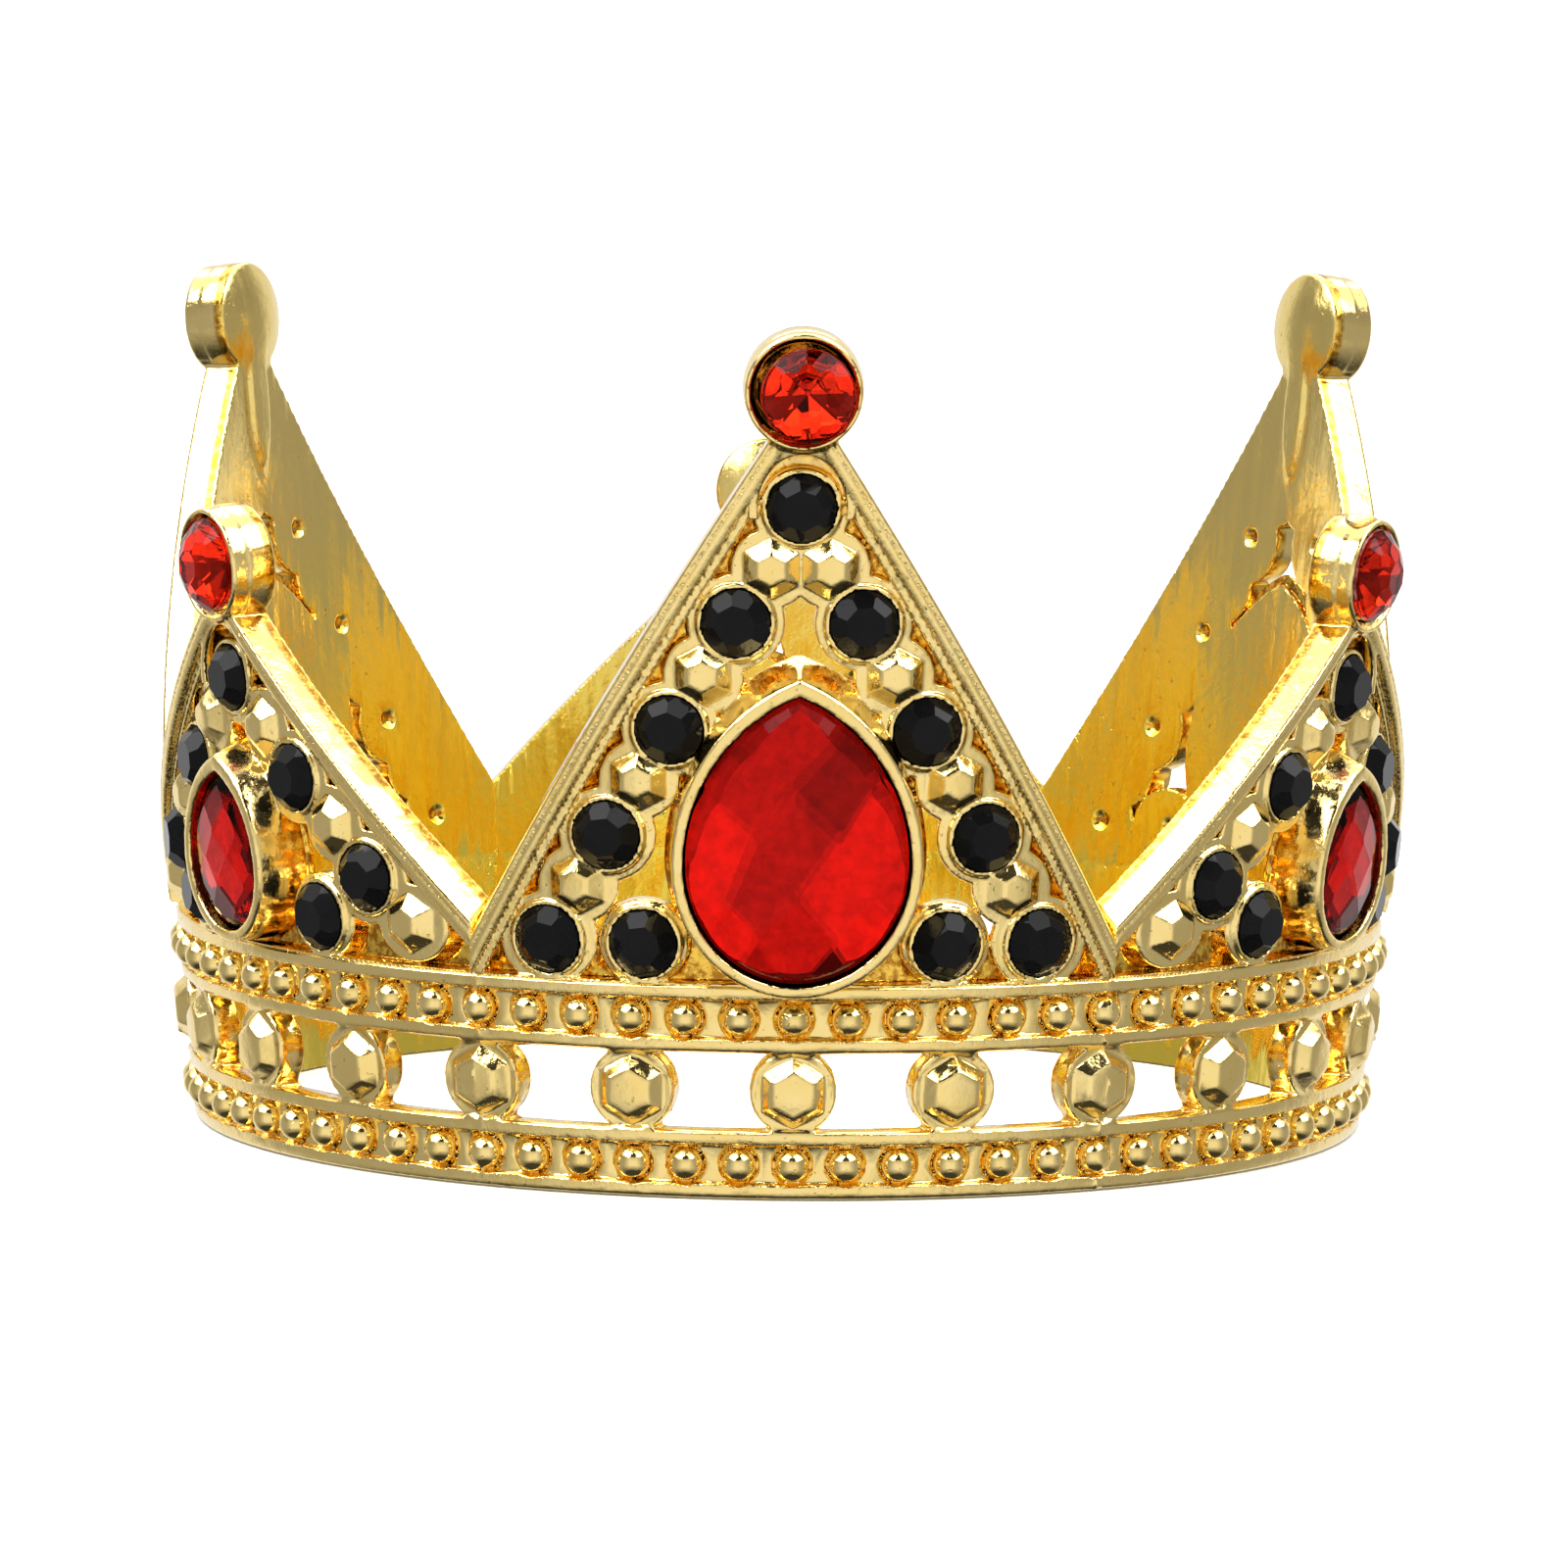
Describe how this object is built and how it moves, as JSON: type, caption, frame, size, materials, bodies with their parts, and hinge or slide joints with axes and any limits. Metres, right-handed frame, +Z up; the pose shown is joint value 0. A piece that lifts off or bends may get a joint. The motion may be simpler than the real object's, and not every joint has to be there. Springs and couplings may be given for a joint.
{
  "type": "mini crown",
  "caption": "Small open-topped display crown: a moulded gold-plated ring with alternating large and small points, beaded bands, an open medallion gallery and glued red and black stones.",
  "frame": {"origin": "on the ring's axis, in the plane of the flat bottom rim that the crown stands on", "axes": "+Z up along the ring's axis; the front large point faces -Y; +X is to the right of a viewer who faces the front point"},
  "size_m": [0.0776, 0.086, 0.0517],
  "materials": {
    "gold_plating": "bright gold plating over a moulded ring, polished reliefs and satin flats",
    "red_round_stone": "faceted transparent orange-red rhinestone",
    "red_teardrop": "faceted transparent deep red resin with a diamond-pattern crown",
    "black_stone": "opaque jet-black faceted stone, glossy",
    "clear_glue": "clear set adhesive, glossy, slightly cloudy"
  },
  "bodies": {
    "root": {"base_ring": "gold_plating", "point_1": "gold_plating", "point_2": "gold_plating", "point_3": "gold_plating", "point_4": "gold_plating", "point_5": "gold_plating", "point_6": "gold_plating", "tip_stone_1": "red_round_stone", "tip_stone_2": "red_round_stone", "tip_stone_3": "red_round_stone", "tip_stone_4": "red_round_stone", "tip_stone_5": "red_round_stone", "tip_stone_6": "red_round_stone", "tip_glue_1": "clear_glue", "tip_glue_2": "clear_glue", "tip_glue_3": "clear_glue", "tip_glue_4": "clear_glue", "tip_glue_5": "clear_glue", "tip_glue_6": "clear_glue", "teardrop_1": "red_teardrop", "teardrop_2": "red_teardrop", "teardrop_3": "red_teardrop", "teardrop_4": "red_teardrop", "teardrop_5": "red_teardrop", "teardrop_6": "red_teardrop", "teardrop_glue_1": "clear_glue", "teardrop_glue_2": "clear_glue", "teardrop_glue_3": "clear_glue", "teardrop_glue_4": "clear_glue", "teardrop_glue_5": "clear_glue", "teardrop_glue_6": "clear_glue", "black_top_1": "black_stone", "black_top_2": "black_stone", "black_top_3": "black_stone", "black_top_4": "black_stone", "black_top_5": "black_stone", "black_top_6": "black_stone", "black_left_1": "black_stone", "black_left_2": "black_stone", "black_left_3": "black_stone", "black_left_4": "black_stone", "black_left_5": "black_stone", "black_left_6": "black_stone", "black_right_1": "black_stone", "black_right_2": "black_stone", "black_right_3": "black_stone", "black_right_4": "black_stone", "black_right_5": "black_stone", "black_right_6": "black_stone", "black_base_1": "black_stone", "black_base_2": "black_stone", "black_base_3": "black_stone", "black_base_4": "black_stone", "black_base_5": "black_stone", "black_base_6": "black_stone"}
  },
  "joints": []
}
